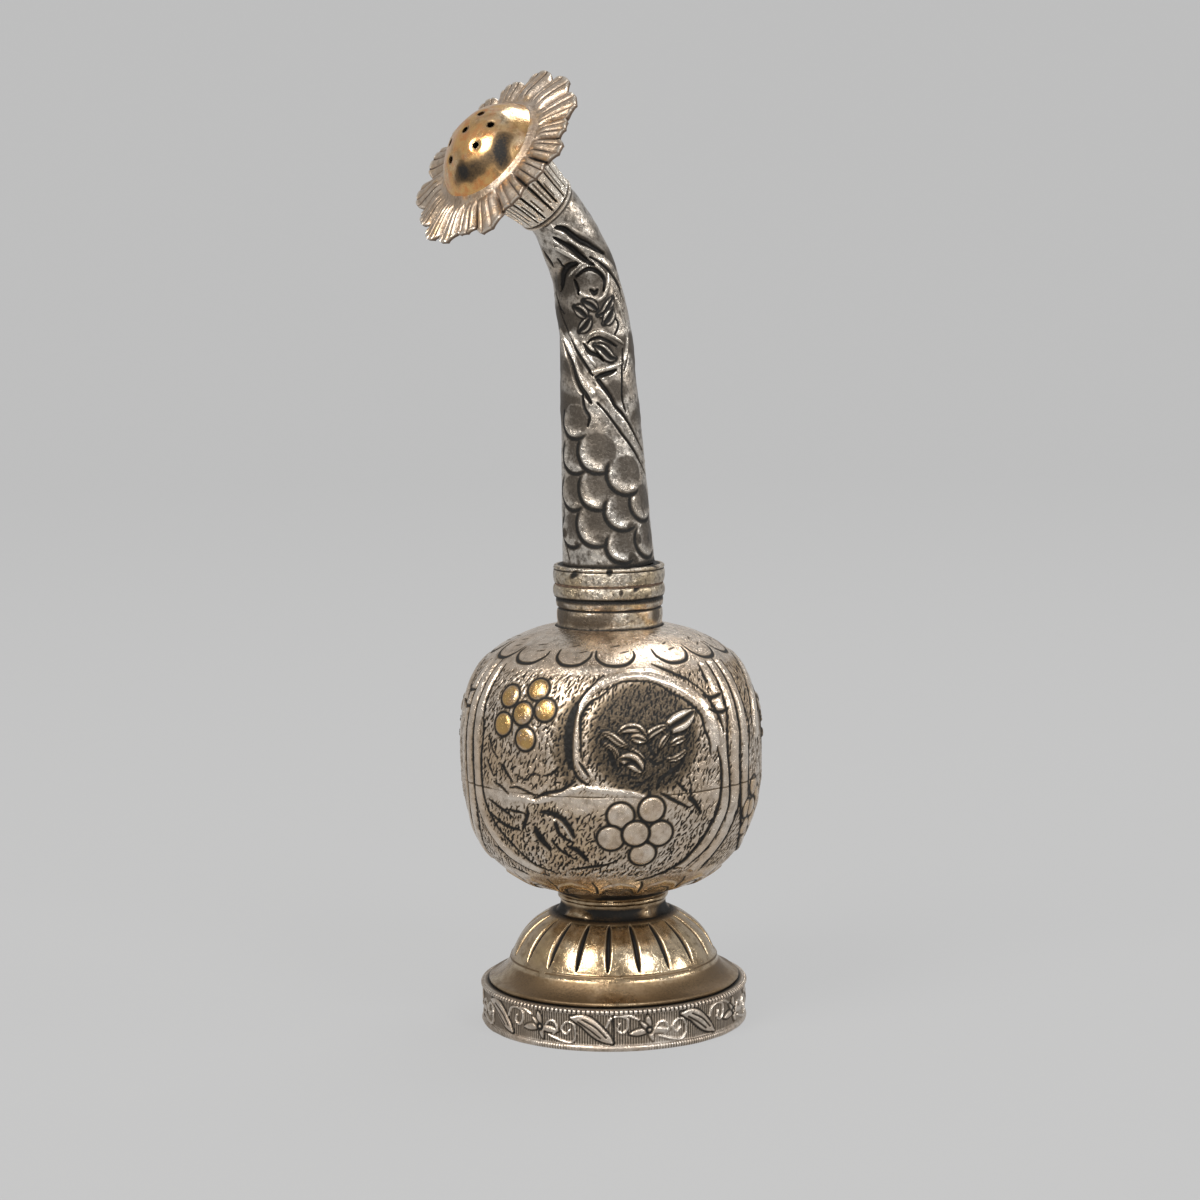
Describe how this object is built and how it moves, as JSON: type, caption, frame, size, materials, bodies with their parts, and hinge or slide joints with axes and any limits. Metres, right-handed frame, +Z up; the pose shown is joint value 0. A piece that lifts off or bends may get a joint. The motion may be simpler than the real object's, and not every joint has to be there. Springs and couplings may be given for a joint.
{
  "type": "rosewater sprinkler",
  "caption": "Footed silver bottle with a round belly and a leaning tubular spout that screws into its neck and ends in a pierced rose set in a collar of petals.",
  "frame": {"origin": "centre of the foot's underside, on the table", "axes": "+Z up along the bottle's axis; the spout leans and looks towards -Y; +X completes a right-handed frame"},
  "size_m": [0.0657, 0.074, 0.2032],
  "materials": {
    "oxidised_silver": "hand-chased silver, blackened in its recesses",
    "gilt_silver": "worn gilding over silver, brown where it has tarnished",
    "foot_bronze": "polished gilt silver with a brown patina",
    "washer_leather": "waxed leather"
  },
  "bodies": {
    "bottle": {"foot_hoop": "oxidised_silver", "foot_rim_wire": "oxidised_silver", "foot_bead_wire": "oxidised_silver", "foot_dome": "foot_bronze", "stem_collar": "foot_bronze", "belly_lower_shell": "oxidised_silver", "belly_upper_shell": "oxidised_silver", "neck_sleeve": "oxidised_silver", "mouth_ring": "oxidised_silver", "neck_thread_bush": "oxidised_silver"},
    "washer": {"sealing_washer": "washer_leather"},
    "spout": {"spout_thread_plug": "oxidised_silver", "spout_ring": "oxidised_silver", "spout_tube": "oxidised_silver", "calyx_cup": "oxidised_silver", "petal_collar": "gilt_silver", "rose_dome": "gilt_silver"}
  },
  "joints": [
    {"name": "spout_rise", "type": "slide", "parent": "bottle", "child": "washer", "axis": [0, 0, 1], "range_m": [0, 0.00526]},
    {"name": "spout_turn", "type": "hinge", "parent": "washer", "child": "spout", "pos_m": [0, 0, 0.0957], "axis": [0, 0, 1], "range_deg": [0, 1260]}
  ],
  "couplings": [
    {"joint": "spout_rise", "follows": "spout_turn", "m_per_rad": 0.00023873}
  ]
}
